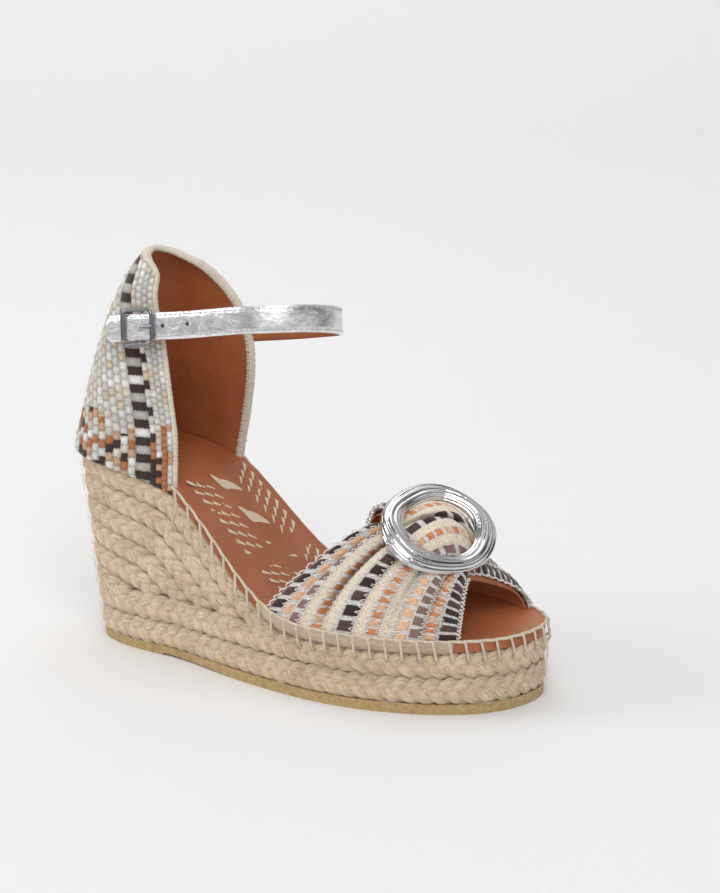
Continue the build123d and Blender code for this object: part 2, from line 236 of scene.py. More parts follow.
def tube(path, out, wide, thick, sides, closed=False):
    """Elliptical tube along a path: each ring is centre + wide * cos(a) * across
    + thick * sin(a) * out, where across is square to the path and to out."""
    heading = headings(path, closed)
    across = unit(np.cross(heading, out))
    out = np.cross(across, heading)
    turn = np.linspace(0, 2 * np.pi, sides, endpoint=False)[None, :, None]
    wide = np.broadcast_to(wide, len(path))[:, None, None]
    thick = np.broadcast_to(thick, len(path))[:, None, None]
    return (path[:, None] + across[:, None] * np.cos(turn) * wide
            + out[:, None] * np.sin(turn) * thick)


def capped(grid):
    """Close an open tube by drawing its end rings into points."""
    first, last = grid[:1].mean(axis=1, keepdims=True), grid[-1:].mean(axis=1, keepdims=True)
    ends = [np.broadcast_to(end, grid[:1].shape) for end in (first, last)]
    return np.concatenate([ends[0], grid, ends[1]])


def normals_of(grid):
    """Unit normals of a grid, from its two tangents."""
    return unit(np.cross(np.gradient(grid, axis=0), np.gradient(grid, axis=1)))


def face_away(piece, middle):
    """Flip a piece if its faces look at the point given, in build millimetres."""
    mesh = piece.data
    centres, normals = np.zeros((2, len(mesh.polygons) * 3))
    mesh.polygons.foreach_get("center", centres)
    mesh.polygons.foreach_get("normal", normals)
    if (normals.reshape(-1, 3) * (centres.reshape(-1, 3) - to_frame(middle))).sum() < 0:
        mesh.flip_normals()
    return piece


# %% [markdown]
# A finish is a Principled shader with noise mixed into its colour and its bump. Small helper
# functions keep each one to a few lines. A larger noise scale gives a finer grain.

# %% Material helpers
def new_finish(name, roughness, metallic=0.0, specular=0.5):
    finish = bpy.data.materials.new(name)
    finish.use_nodes = True
    shader = finish.node_tree.nodes["Principled BSDF"]
    shader.inputs["Roughness"].default_value = roughness
    shader.inputs["Metallic"].default_value = metallic
    shader.inputs["Specular IOR Level"].default_value = specular
    return finish, finish.node_tree, shader


def noise_on(tree, source, scale, detail=4.0, stretch=(1, 1, 1), roughness=0.6):
    """Noise read from a coordinate socket, stretched by a Mapping node."""
    mapping = tree.nodes.new("ShaderNodeMapping")
    mapping.inputs["Scale"].default_value = stretch
    tree.links.new(source, mapping.inputs["Vector"])
    noise = tree.nodes.new("ShaderNodeTexNoise")
    noise.inputs["Scale"].default_value = scale
    noise.inputs["Detail"].default_value = detail
    noise.inputs["Roughness"].default_value = roughness
    tree.links.new(mapping.outputs["Vector"], noise.inputs["Vector"])
    return noise.outputs["Fac"]


def ramp_on(tree, source, stops):
    ramp = tree.nodes.new("ShaderNodeValToRGB")
    while len(ramp.color_ramp.elements) < len(stops):
        ramp.color_ramp.elements.new(0.5)
    for element, (place, colour) in zip(ramp.color_ramp.elements, stops):
        element.position = place
        element.color = (*colour, 1)
    tree.links.new(source, ramp.inputs["Fac"])
    return ramp.outputs["Color"]


def multiply(tree, first, second, amount=1.0):
    mix = tree.nodes.new("ShaderNodeMix")
    mix.data_type = "RGBA"
    mix.blend_type = "MULTIPLY"
    mix.inputs["Factor"].default_value = amount
    tree.links.new(first, mix.inputs[6])
    tree.links.new(second, mix.inputs[7])
    return mix.outputs[2]


def bump_on(tree, height, shader, distance, strength=1.0):
    bump = tree.nodes.new("ShaderNodeBump")
    bump.inputs["Distance"].default_value = distance
    bump.inputs["Strength"].default_value = strength
    tree.links.new(height, bump.inputs["Height"])
    tree.links.new(bump.outputs["Normal"], shader.inputs["Normal"])


def object_place(tree):
    return tree.nodes.new("ShaderNodeTexCoord").outputs["Object"]


def tint_of(tree):
    attribute = tree.nodes.new("ShaderNodeAttribute")
    attribute.attribute_name = "tint"
    return attribute.outputs["Color"]


# %% [markdown]
# Jute is matt and hairy. Its fibres run along each strand, so the noise is stretched along the
# UV map, whose first number is the distance along the strand in millimetres.

# %% Finishes
def jute_finish():
    finish, tree, shader = new_finish("plaited_jute", 0.9, specular=0.2)
    run = tree.nodes.new("ShaderNodeUVMap").outputs["UV"]
    fibres = noise_on(tree, run, 1.0, 6, (0.16, 1.25, 1), 0.75)
    colour = ramp_on(tree, fibres,
                     [(0.3, (0.36, 0.26, 0.165)),
                      (0.48, (0.74, 0.585, 0.415)), (0.7, (0.97, 0.83, 0.645))])
    patches = noise_on(tree, object_place(tree), 70, 3)
    tone = ramp_on(tree, patches, [(0.3, (0.86, 0.84, 0.80)), (0.7, (1, 1, 1))])
    # The tint brings in the braids' painted shade.
    shade = multiply(tree, multiply(tree, colour, tone), tint_of(tree))
    tree.links.new(shade, shader.inputs["Base Color"])
    shader.inputs["Sheen Weight"].default_value = 0.25
    bump_on(tree, fibres, shader, 0.0011, 1.0)
    return finish


def cloth_finish(name, roughness=0.85, thread=900):
    """Yarn coloured by the weave's tint, which holds its colours and its painted shade, with a fine
    twisted-thread bump.
    """
    finish, tree, shader = new_finish(name, roughness, specular=0.25)
    place = object_place(tree)
    fluff = noise_on(tree, place, thread, 5, roughness=0.7)
    tone = ramp_on(tree, fluff, [(0.3, (0.66, 0.64, 0.62)), (0.62, (1.0, 1.0, 1.0))])
    tree.links.new(multiply(tree, tint_of(tree), tone), shader.inputs["Base Color"])
    shader.inputs["Sheen Weight"].default_value = 0.2
    bump_on(tree, fluff, shader, 0.00045, 0.9)
    return finish


def leather_finish(name, colours, roughness, grain=420, depth=0.00025):
    finish, tree, shader = new_finish(name, roughness)
    place = object_place(tree)
    cells = tree.nodes.new("ShaderNodeTexVoronoi")
    cells.inputs["Scale"].default_value = grain
    tree.links.new(place, cells.inputs["Vector"])
    clouds = noise_on(tree, place, 45, 4)
    colour = ramp_on(tree, clouds, [(0.3, colours[0]), (0.7, colours[1])])
    tree.links.new(colour, shader.inputs["Base Color"])
    bump_on(tree, cells.outputs["Distance"], shader, depth, 0.5)
    return finish


def metal_finish(name, colour, roughness):
    finish, tree, shader = new_finish(name, roughness, 1.0)
    clouds = noise_on(tree, object_place(tree), 120, 3)
    dimmer = tuple(0.92 * c for c in colour)
    tone = ramp_on(tree, clouds, [(0.3, dimmer), (0.7, colour)])
    tree.links.new(tone, shader.inputs["Base Color"])
    return finish


def crinkled_silver():
    """Foil-covered leather: bright metal whose grain breaks the reflections up."""
    finish, tree, shader = new_finish("silver_foil_leather", 0.27, 0.9)
    place = object_place(tree)
    creases = noise_on(tree, place, 200, 6, (1, 1, 2.2), 0.6)
    tone = ramp_on(tree, creases, [(0.3, (0.60, 0.60, 0.61)), (0.6, (0.90, 0.90, 0.91))])
    tree.links.new(tone, shader.inputs["Base Color"])
    bump_on(tree, creases, shader, 0.0008, 0.45)
    return finish


def rubber_finish():
    finish, tree, shader = new_finish("honey_rubber", 0.55)
    place = object_place(tree)
    specks = noise_on(tree, place, 500, 4)
    colour = ramp_on(tree, specks, [(0.35, (0.40, 0.27, 0.115)), (0.65, (0.53, 0.38, 0.18))])
    tree.links.new(colour, shader.inputs["Base Color"])
    bump_on(tree, specks, shader, 0.0002, 0.5)
    return finish


jute = jute_finish()
weave = cloth_finish("bright_weave")
cream_cord = cloth_finish("cream_cord", 0.8, 1500)
tan = leather_finish("tan_leather", ((0.35, 0.105, 0.037), (0.44, 0.14, 0.052)), 0.48)
silver_leather = crinkled_silver()
ring_metal = metal_finish("polished_silver", (0.74, 0.74, 0.75), 0.11)
nickel = metal_finish("dark_nickel", (0.26, 0.26, 0.28), 0.22)
rubber = rubber_finish()
print("finishes", [finish.name for finish in bpy.data.materials])


def dress(piece, finish, body, slot_name, *stands_for):
    """Give a new piece its finish and its body, and hide the solids it stands for. The slot name is
    not used.
    """
    piece.data.materials.clear()
    piece.data.materials.append(finish)
    if body:
        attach(piece, body)
    if stands_for:
        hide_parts(*stands_for)
    print(piece.name, len(piece.data.polygons), "faces")
    return piece


def thicken(piece, thickness):
    """Give an open surface a closed back, so many millimetres behind its faces."""
    solid = piece.modifiers.new("thickness", "SOLIDIFY")
    solid.thickness = thickness * MM
    solid.offset = -1.0


# %% [markdown]
# The rubber, the board and the hidden layers already have their true shape, so they keep the
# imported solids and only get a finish.

# %% Kept solids
def paint(node, finish):
    nodes[node].data.materials.clear()
    nodes[node].data.materials.append(finish)


for node, finish in (("rubber_outsole", rubber), ("heel_lift", rubber), ("wedge_core", jute),
                     ("insole_board", tan), ("insole_foam", tan), ("sock_liner", tan),
                     ("counter_stiffener", tan), ("buckle_frame", nickel),
                     ("buckle_prong", nickel)):
    paint(node, finish)

# %% [markdown]
# The sole is wound from flat braids of jute. In a plait of three, each strand swings from side
# to side as a sine and dips under its neighbours twice as often. Three copies a third of a
# wave apart give the arrow pattern. Real tubes are used, because the arrows stand out by
# millimetres and catch the light.

# %% Braids
BRAID_WAVE, BRAID_SWING, BRAID_SIDES = 21.0, 0.27, 16


def braid(name, path, out, width, closed):
    """Three strands: side = 0.27 W sin(w + 2 pi k / 3), depth = 0.06 W sin(2 w + 4 pi k / 3),
    over a flat backing that closes the gaps between them."""
    up = unit(np.cross(headings(path, closed), out))
    steps = np.linalg.norm(np.diff(path, axis=0), axis=1)
    run = np.concatenate([[0], np.cumsum(steps)])
    total = run[-1] + (np.linalg.norm(path[0] - path[-1]) if closed else 0)
    waves = max(1, round(total / BRAID_WAVE))
    wave = 2 * np.pi * waves * run / total
    heap = Heap()
    for strand in range(3):
        phase = wave + 2 * np.pi * strand / 3
        side, depth = BRAID_SWING * width * np.sin(phase), 0.06 * width * np.sin(2 * phase)
        wobble = 1 + 0.07 * np.sin(run * 0.9 + strand * 2 + rng.uniform(0, 6))
        centre = path + up * side[:, None] + out * depth[:, None]
        grid = tube(centre, out, 0.245 * width * wobble, 0.125 * width, BRAID_SIDES, closed)
        u, v = np.meshgrid(run * 1.1 + strand * 200, np.arange(BRAID_SIDES), indexing="ij")
        v = v + 0.30 * u
        yarns = (0.035 * np.sin(2 * np.pi * v / BRAID_SIDES * 5)
                 + 0.02 * rng.standard_normal(u.shape))
        grid = centre[:, None] + (grid - centre[:, None]) * (1 + yarns)[..., None]
        # Painted shade: a strand is lighter where it lies over its neighbours, darker where it dips
        # under them, and darker towards the braid's edges.
        light = 0.98 + 0.20 * (depth / (0.085 * width))[:, None] * np.ones((1, BRAID_SIDES))
        rim = np.abs(side[:, None] / (BRAID_SWING * width)) * 0.10
        shade = np.clip(light - rim + 0.12, 0.55, 1.3)
        tint = np.stack([shade, shade * 0.99, shade * 0.97], axis=-1)
        heap.add(grid, closed, True, (u, v), tint)
    edge = np.array([-0.5, -0.2, 0.2, 0.5]) * width
    back = path[:, None] - out[:, None] * 0.14 * width + up[:, None] * edge[None, :, None]
    u, v = np.meshgrid(run, edge * 3, indexing="ij")
    # The backing is tinted 0.55: painted shade in the gaps between the strands.
    heap.add(back[:, ::-1], closed, False, (u, v), 0.55)
    dress(heap.build(name), jute, "sandal", "jute", name)


def platform_braid(name, height):
    along = np.linspace(0, PERIMETER, 560, endpoint=False)
    path, out = wall_point(along, height, 2.6)
    braid(name, path, out, 12.4, True)


def wedge_braid(row):
    """A row follows the top edge, stepped down, from the outer waist round the heel to the
    inner waist, and each end dives behind the platform."""
    step = ROW_STEP * (row + 0.5)
    around = np.linspace(-230, 230, 1200)
    spot, _ = seat_point(around, 0, 2.4, step)
    shown = np.where((spot[:, 2] > SOLE_TOP - 4.5) & (spot[:, 0] < 135))[0]
    ends = around[shown[0]], around[shown[-1]]
    count = int((ends[1] - ends[0]) / 1.15)
    along = np.linspace(*ends, count)
    from_end = np.minimum(along - ends[0], ends[1] - along)
    dive = 2.6 + 4.0 * np.clip(1 - from_end / 16, 0, 1) ** 1.5
    path, out = seat_point(along, 0, dive, step)
    braid(f"wedge_braid_{row + 1}", path, out, 11.2, False)


def backing():
    """Wound jute behind the rows: the wall again, 5 mm in, so that no gap looks through."""
    along = np.linspace(0, PERIMETER, 300, endpoint=False)
    level = seat_point(along, -1.0, 5.0)[0][:, 2]
    rows = [wall_point(along, 5 + (level - 5) * lift, 5.0)[0] for lift in np.linspace(0, 1, 12)]
    uv = np.meshgrid(along, np.linspace(0, 80, 12), indexing="ij")
    # Tint 0.6 darkens this wall: painted shade behind the rows, where the gaps are deep.
    wall = from_grid("wedge_backing", np.stack(rows, axis=1), True, False, uv=uv, tint=0.6)
    dress(wall, jute, "sandal", "jute")


backing()
platform_braid("platform_braid_lower", 10.4)
platform_braid("platform_braid_upper", 22.4)
for row in range(6):
    wedge_braid(row)

# %% [markdown]
# Jute is never quite smooth. Short bent hairs lie over the plait, with their ends standing off
# the wall.

# %% Loose fibres
def loose_fibres(name, count):
    """Fine hairs lying over the plait, each a bent three-sided thread 0.15 mm thick."""
    heap = Heap()
    for _ in range(count):
        along, rise = rng.uniform(0, PERIMETER), rng.uniform(0, 1)
        level = seat_point(np.array([along]))[0][0, 2]
        z = 5 + (level - 8) * rise
        length, lean = rng.uniform(4, 12), rng.normal(0, 0.35)
        t = np.linspace(-0.5, 0.5, 6)
        hop = along + length * t * math.cos(lean)
        height = z + length * t * math.sin(lean) + rng.normal(0, 0.6) * (4 * t * t - 1)
        inset = -0.35 - rng.uniform(0, 0.9) * 4 * t * t
        path, out = wall_point(hop, np.clip(height, 5, level - 1), inset)
        heap.cord(path, out, 0.075, 0.075, 3, rng.uniform(1.0, 1.35))
    dress(heap.build(name), jute, "sandal", "jute")


loose_fibres("jute_hairs", 1500)

# %% [markdown]
# The leather sock carries a light printed pattern. Plain tapered dashes in arcs and a few
# wavy leaves are used. They are thin flakes lying on the leather, which is how a print
# can be exported as real shape.

# %% Sock print
def sock_height(x):
    """Top of the sock: the seat line lifted by the insole's thickness, square to its slope."""
    slope = np.gradient(SEAT_LINE[:, 1], SEAT_LINE[:, 0])
    tilt = np.sqrt(1 + np.interp(x, SEAT_LINE[:, 0], slope) ** 2)
    return seat_height(x) + INSOLE * tilt + 0.12


def flake(heap, points, widths):
    """Flat ribbon on the sock: the points are its middle line, the widths its full width."""
    points = np.asarray(points, float)
    heading = headings(points)
    side = np.column_stack([-heading[:, 1], heading[:, 0]])
    edges = [points + side * (w * np.asarray(widths) / 2)[:, None] for w in (-1, 1)]
    grid = np.stack([np.column_stack([e, sock_height(e[:, 0])]) for e in edges], axis=1)
    heap.add(grid[:, ::-1], tint=(0.86, 0.72, 0.52))


def print_on_sock():
    """Tapered dashes in two arcs beside the edges, and a row of plain leaves between."""
    heap = Heap()
    for side in (-1, 1):
        for ray in range(17):
            x0 = 70 + 4.3 * ray
            for dash in range(3):
                start, reach = 23.5 - 5.2 * dash, 4.1 - 0.3 * dash
                t = np.linspace(0, 1, 5)
                x = x0 + 2.0 * dash + 2.6 * t + 1.2 * side
                y = side * (start - reach * t) + 1.5
                flake(heap, np.column_stack([x, y]), np.linspace(1.9, 0.7, 5) * (1 - 0.15 * dash))
    for leaf in range(5):
        t = np.linspace(0, 1, 22)
        x = 70 + 14.5 * leaf + 10 * t + 1.2 * np.sin(2 * np.pi * t)
        y = -5 + 12 * t + 1.5 * np.sin(2 * np.pi * t + 1)
        flake(heap, np.column_stack([x, y]), 0.25 + 4.6 * np.sin(np.pi * t) ** 0.7)
    return heap.build("sock_print")


dress(print_on_sock(), cream_cord, "sandal", "cream_cord")

# %% [markdown]
# Blanket stitch holds the upper to the braid: one cord runs along the insole's edge, and a
# bar drops from it over the leather's edge into the plait every few millimetres.

# %% Blanket stitch
STITCH_STEP = 7.0
CORD = (0.80, 0.70, 0.54)


def rim_between(x_from, x_to, side=0):
    """Distances along the rim whose x lies in a range, all round or on the outer (-1) or the
    inner (1) side alone."""
    along = np.linspace(0, PERIMETER, RIM, endpoint=False)
    spot, _ = seat_point(along)
    right = (spot[:, 0] > x_from) & (spot[:, 0] < x_to)
    if side:
        right &= np.sign(spot[:, 1] - 3) == side
    return along[right]


def blanket_stitch():
    heap = Heap()
    visible = rim_between(67, 400)
    start, end = visible.min(), visible.max()
    along = np.arange(start, end, 1.2)
    wave = 0.35 * np.sin(along * 2 * np.pi / STITCH_STEP)
    path, out = seat_point(along, INSOLE + 0.35, 0.6 + wave)
    heap.cord(path, out, 0.72, 0.62, 7, CORD)
    for centre in np.arange(start + 2, end - 2, STITCH_STEP):
        lean = rng.uniform(-0.8, 0.8)
        spots = []
        for rise, inset, shift in ((INSOLE + 0.6, 1.0, 0), (INSOLE + 0.1, -0.35, 0.2),
                                   (2.4, -0.75, 0.6), (0.4, -0.9, 1.0), (-2.6, -1.5, 1.5),
                                   (-4.4, 0.6, 1.9)):
            spot, out = seat_point(np.array([centre + shift * (1 + lean * 0.4)]), rise, inset)
            spots.append(spot[0])
        path = curve_through(spots, 10)
        tint = np.multiply(CORD, rng.uniform(0.92, 1.05))
        heap.cord(path, np.broadcast_to(out[0], path.shape), 0.62, 0.55, 6, tint)
    return heap.build("edge_stitching")


dress(blanket_stitch(), cream_cord, "sandal", "cream_cord", "edge_stitching")


def tape_strip(name, x_from, x_to, side):
    """Cotton tape round the vamp's foot: a slightly swollen strip standing on the braid."""
    chosen = rim_between(x_from, x_to, side)
    along = np.linspace(chosen.min(), chosen.max(), 160)
    section = [(-0.6, 1.2), (-0.4, -0.2), (0.6, -0.6), (2.5, -0.75), (4.2, -0.5), (4.9, 0.2),
               (4.8, 1.4)]
    grid = np.stack([seat_point(along, rise, inset)[0] for rise, inset in section], axis=1)
    uv = np.meshgrid(along, np.arange(7.0) * 4, indexing="ij")
    dress(from_grid(name, grid, uv=uv, tint=0.97), jute, "sandal", "tape", name)


tape_strip("vamp_edge_tape_lateral", 116, 207, -1)
tape_strip("vamp_edge_tape_medial", 117, 215, 1)

# %% [markdown]
# The heel counter is a leaf-shaped shell. At each height its plan is a U. The fabric, the
# lining and the rolled edge all read one function, so they stay parallel.

# %% Heel counter
CUP = np.array([(72, -3.2, 30.6, 30), (92, 0.6, 30.0, 29), (110, 5.4, 28.8, 28),
                (130, 10.8, 27.0, 26), (150, 17.6, 24.4, 23), (168, 25.6, 20.5, 19),
                (180, 33.5, 13.5, 13), (188, 42.0, 8.5, 8.5)])
CUP_LINE = curve_through(CUP, 400)
EDGE_LATERAL = curve_through([(66, 60), (66.6, 83), (66.3, 104), (63.2, 122), (57.6, 148),
                              (51.8, 165), (50, 179.5), (40, 183.6)], 300)
EDGE_MEDIAL = curve_through([(64, 60), (66.5, 83), (72, 110), (74.8, 130), (73.6, 146),
                             (67.5, 161), (50, 179.5), (40, 183.6)], 300)


def crown_at(share):
    """The counter's top is an arch: highest at the rear, 8.5 mm lower at its front corners."""
    return 183.2 - 8.5 * np.abs(share) ** 3


def cup_point(share, z, inset=0.0):
    """Point of the counter at height z: share -1 is the outer front edge, 0 the rear, 1 the
    inner front edge. The plan is half an ellipse that runs on in two straight sides."""
    rear, half, depth = (np.interp(z, CUP_LINE[:, 0], CUP_LINE[:, k]) for k in (1, 2, 3))
    outer_x = np.interp(z, EDGE_LATERAL[:, 1], EDGE_LATERAL[:, 0])
    inner_x = np.interp(z, EDGE_MEDIAL[:, 1], EDGE_MEDIAL[:, 0])
    edge_x = np.where(share < 0, outer_x, inner_x)
    rear, half, depth = rear + inset, half - inset, depth - inset
    quarter = np.pi / 2 * np.sqrt((half ** 2 + depth ** 2) / 2)
    straight = edge_x - rear - depth
    full = np.where(straight > 0, quarter + straight,
                    quarter * np.arccos(np.clip(1 - (edge_x - rear) / depth, -1, 1)) / (np.pi / 2))
    walked = np.abs(share) * full
    turn = np.minimum(walked / quarter, 1) * np.pi / 2
    x = rear + depth * (1 - np.cos(turn)) + np.maximum(walked - quarter, 0)
    y = np.sign(share) * half * np.sin(turn)
    return np.stack([x, y, z], axis=-1), np.sign(share) * walked


def cup_grid(columns, rows, inset):
    """Grid over the counter, from the sole's edge to the crown."""
    share, lift = np.meshgrid(np.linspace(-1, 1, columns), np.linspace(0, 1, rows), indexing="ij")
    base = np.full(share.shape, 85.0)
    for _ in range(12):
        spot, _ = cup_point(share, base, inset)
        base = 0.5 * base + 0.5 * (seat_height(spot[..., 0]) - 0.4)
    z = base + (crown_at(share) - base) * lift
    spot, walked = cup_point(share, z, inset)
    _, full = cup_point(np.where(share < 0, -1.0, 1.0), z, inset)
    return spot, walked, z, np.abs(full) - np.abs(walked)


PALE = np.array([(0.80, 0.74, 0.64), (0.86, 0.83, 0.78), (0.70, 0.66, 0.60), (0.76, 0.62, 0.47),
                 (0.83, 0.78, 0.68), (0.78, 0.77, 0.75)])
BROWN, ORANGE, PEACH, MAUVE, CREAM, WHITE = np.array([
    (0.06, 0.035, 0.03), (0.66, 0.25, 0.10), (0.84, 0.53, 0.34),
    (0.27, 0.165, 0.15), (0.97, 0.86, 0.69), (0.95, 0.92, 0.88)])


def recolour(tint, where, colour):
    return np.where(where[..., None], colour, tint)


def pillow(u, v, soft=0.42):
    """Height of a cushion-shaped stitch over its unit cell, 1 in the middle and 0 at the rim."""
    return (np.sin(np.pi * np.mod(u, 1)) ** soft) * (np.sin(np.pi * np.mod(v, 1)) ** soft)


def counter_weave(walked, z, from_edge):
    """Cushions of yarn in upright columns. Near the front edge they are small and cream, one
    wide column alternates dark and grey blocks, and the foot of the cloth is beige and orange."""
    column = np.interp(from_edge, [0, 9, 12, 20, 24, 90], [0, 3, 4, 5, 6, 22.5])
    i = np.floor(column).astype(int)
    tall = np.where(i < 3, 3.0, 3.9)
    row = z / tall + 0.5 * (i % 2) + 0.10 * column
    j = np.floor(row).astype(int)
    mixed = (i * 7919 + j * 104729 + i * j * 31) % 97
    tint = PALE[mixed % len(PALE)]
    low = z < 104 + 3 * (mixed % 5)
    tint = recolour(tint, low & (mixed % 3 == 0), PEACH * 0.8)
    tint = recolour(tint, low & (mixed % 5 == 2), ORANGE * 0.8)
    dark = ((i == 4) & (j % 2 == 0)) | ((i == 3) & (j % 3 == 0) & (z < 150))
    dark |= low & (mixed % 7 == 4)
    tint = recolour(tint, dark, BROWN)
    tint = recolour(tint, (i == 4) & (j % 2 == 1), (0.55, 0.52, 0.48))
    tint = recolour(tint, (mixed % 6 == 1) & ~dark, WHITE)
    lift = pillow(column, row)
    lift = np.where(dark, 0.6 * lift, lift)
    # Painted shade: each cushion's colour darkens towards its low rim, so the grooves between the
    # stitches look shaded.
    return lift, tint * (0.42 + 0.6 * np.clip(lift, 0, 1))[..., None]


def counter_pieces():
    grid, walked, z, from_edge = cup_grid(270, 170, 0.5)
    lift, tint = counter_weave(walked, z, from_edge)
    grid = grid - normals_of(grid) * (0.95 * lift)[..., None]
    fabric = from_grid("counter_fabric", grid[:, ::-1], tint=tint[:, ::-1])
    thicken(fabric, 0.9)
    dress(fabric, weave, "sandal", "woven_fabric", "counter_fabric")
    grid, walked, z, _ = cup_grid(90, 60, 3.1)
    folds = 0.35 * np.sin(walked * 0.25 + 1.3 * np.sin(z * 0.05)) * np.clip((110 - z) / 25, 0, 1)
    lining = from_grid("counter_lining", grid - normals_of(grid) * folds[..., None])
    thicken(lining, 0.8)
    dress(lining, tan, "sandal", "tan_leather", "counter_lining")


def counter_edge(inset, count=420):
    """Path round the counter's rim, from the outer foot over the crown to the inner foot."""
    share = np.concatenate([np.full(count, -1.0), np.linspace(-1, 1, 60), np.full(count, 1.0)])
    up = np.linspace(0, 1, count)
    lift = np.concatenate([up, np.ones(60), up[::-1]])
    foot = 79.0
    spot, _ = cup_point(share, foot + (crown_at(share) - foot) * lift, inset)
    step = np.linalg.norm(np.diff(spot, axis=0), axis=1)
    run = np.concatenate([[0], np.cumsum(step)])
    even_run = np.linspace(0, run[-1], count)
    return np.column_stack([np.interp(even_run, run, spot[:, k]) for k in range(3)])


def binding():
    """Rolled edge: a soft tube that swells and narrows with each gathered thread."""
    path = counter_edge(1.7)
    for _ in range(30):
        path[1:-1] = 0.25 * path[:-2] + 0.5 * path[1:-1] + 0.25 * path[2:]
    away = unit((path - (40.0, 0, 0)) * (1, 1, 0))
    ripple = 1 + 0.10 * np.sin(np.arange(len(path)) * 2.1) + 0.05 * rng.standard_normal(len(path))
    heap = Heap()
    heap.cord(path, away, 1.25 * ripple, 2.1 * ripple, 12, (0.84, 0.77, 0.66))
    return heap.build("counter_binding")


counter_pieces()
dress(binding(), cream_cord, "sandal", "cream_cord", "counter_binding")

# %% [markdown]
# The vamp is one striped cloth whose stripes run from the sole to the knot. It is a fan drawn
# on a dome: wide at the sole, a third as wide under the ring, so its spare cloth stands up in
# pleats. The pleats and the yarn blocks are real height on a fine grid.

# %% Vamp
VAMP = np.array([(108, 38.5, 31.5, -2, 50), (124, 41, 34, -4, 69), (142, 43, 36.5, -6, 77),
                 (160, 43, 40, -8, 80.5), (178, 40.5, 41, -10, 77), (196, 34, 39.5, -10, 66),
                 (216, 22, 30, -6, 50)])
VAMP_LINE = curve_through(VAMP, 400)
STRIPES = "BPCOCBCOCPOB"
STRIPE_WIDTH = {"B": 1.15, "P": 1.7, "C": 0.95, "O": 0.85}
stripe_edges = np.cumsum([0] + [STRIPE_WIDTH[s] for s in STRIPES])
stripe_edges = stripe_edges / stripe_edges[-1]


def dome_point(x, share, inset=0.0):
    """Point of the arch over the foot at station x: share 0 is the outer foot of the arch and
    1 the inner foot. Six knots of the arch are joined by a Catmull-Rom curve."""
    outer, inner, side, crown = (np.interp(x, VAMP_LINE[:, 0], VAMP_LINE[:, k])
                                 for k in (1, 2, 3, 4))
    lift = crown - SOLE_TOP
    foot = SOLE_TOP + 4
    ys = [-outer + inset, -outer + inset, -outer * 0.84 + inset, side - outer * 0.26,
          side + inner * 0.22, inner * 0.8 - inset, inner - inset, inner - inset]
    zs = [foot - 22, foot, SOLE_TOP + lift * 0.55, crown - lift * 0.07 - inset,
          crown - lift * 0.04 - inset, SOLE_TOP + lift * 0.55, foot, foot - 22]
    ys = np.stack(np.broadcast_arrays(*ys))
    zs = np.stack([np.broadcast_to(z, ys.shape[1:]) for z in zs])
    at = np.clip(share, 0, 1) * 5
    index = np.minimum(at.astype(int), 4)
    part = at - index

    def knot(values, shift):
        return np.take_along_axis(values, (index + shift)[None], axis=0)[0]

    def blend(values):
        return catmull_rom(*(knot(values, shift) for shift in range(4)), part)

    return np.stack([x, blend(ys), blend(zs)], axis=-1)


def stripe_weave(across, run, seed=0):
    """Colours and heights of the striped cloth. Across runs 0 to 1 over the stripes, and run is
    the distance along them in millimetres."""
    number = np.clip(np.searchsorted(stripe_edges, across, side="right") - 1, 0, len(STRIPES) - 1)
    local = (across - stripe_edges[number]) / (stripe_edges[number + 1] - stripe_edges[number])
    kind = np.array(list(STRIPES))[number]
    tint = np.broadcast_to(CREAM, across.shape + (3,)).copy()
    lift = 0.72 + 0.2 * np.sin(run * 5.3 + 2 * np.sin(local * 9)) * np.sin(local * 21)
    for letter, pitch, colours in (("B", 6.4, (BROWN * 0.8, MAUVE * 0.35)),
                                   ("O", 3.6, (ORANGE, PEACH * 0.9)), ("P", 6.6, (PEACH, MAUVE))):
        here = kind == letter
        split = 2 if letter == "P" else 1
        cell = run / pitch + 0.37 * number + 0.5 * (np.floor(local * split) % 2)
        first = (np.floor(cell).astype(int) * 7 + number * 3 + seed) % 5 < 3
        if letter == "P":
            first = np.floor(local * 2) % 2 == 0
        bulge, within = pillow(local * split, cell, 0.5), np.mod(cell, 1)
        gap = (within < 0.16) | (within > 0.86) | (np.mod(local * split, 1) < 0.10)
        colour = recolour(recolour(colours[1], first, colours[0]), gap, WHITE)
        height = np.where(gap, 0.55 + 0.3 * np.sin(run * 9 + local * 11), 0.35 + 0.9 * bulge)
        tint = recolour(tint, here, colour)
        lift = np.where(here, height, lift)
    speck = (np.sin(run * 3.1 + number) * np.sin(across * 173) > 0.93) & (kind == "C")
    tint = recolour(tint, speck, MAUVE * 0.8)
    # Painted shade: every colour darkens where the yarn lies low, in the gaps and between the
    # blocks.
    return lift, tint * (0.60 + 0.48 * np.clip(lift, 0, 1))[..., None]


RING_AT = np.array([188.5, -9.0, 76.0])
RING_FACING = unit(np.array([0.52, -0.40, 0.755]))
INWARDS = np.array([0.61, 0.79, 0.0])
RING_ACROSS = unit(INWARDS - np.dot(INWARDS, RING_FACING) * RING_FACING)
RING_UP = np.cross(RING_FACING, RING_ACROSS)


def pleats(across, reach):
    """Folds that deepen towards the knot: rounded ridges with narrow valleys between them."""
    folds = np.abs(np.sin(np.pi * (6.0 * across + 0.18 * np.sin(5 * across + 1))))
    deep = np.exp(-((across - 0.335) / 0.022) ** 2)
    rise = reach * (1.25 - 0.35 * reach)
    groove = deep * 3.6 * np.sin(np.pi * np.clip(reach, 0, 1) * 0.8)
    return 4.4 * rise * (folds ** 0.7 - 0.55) - groove


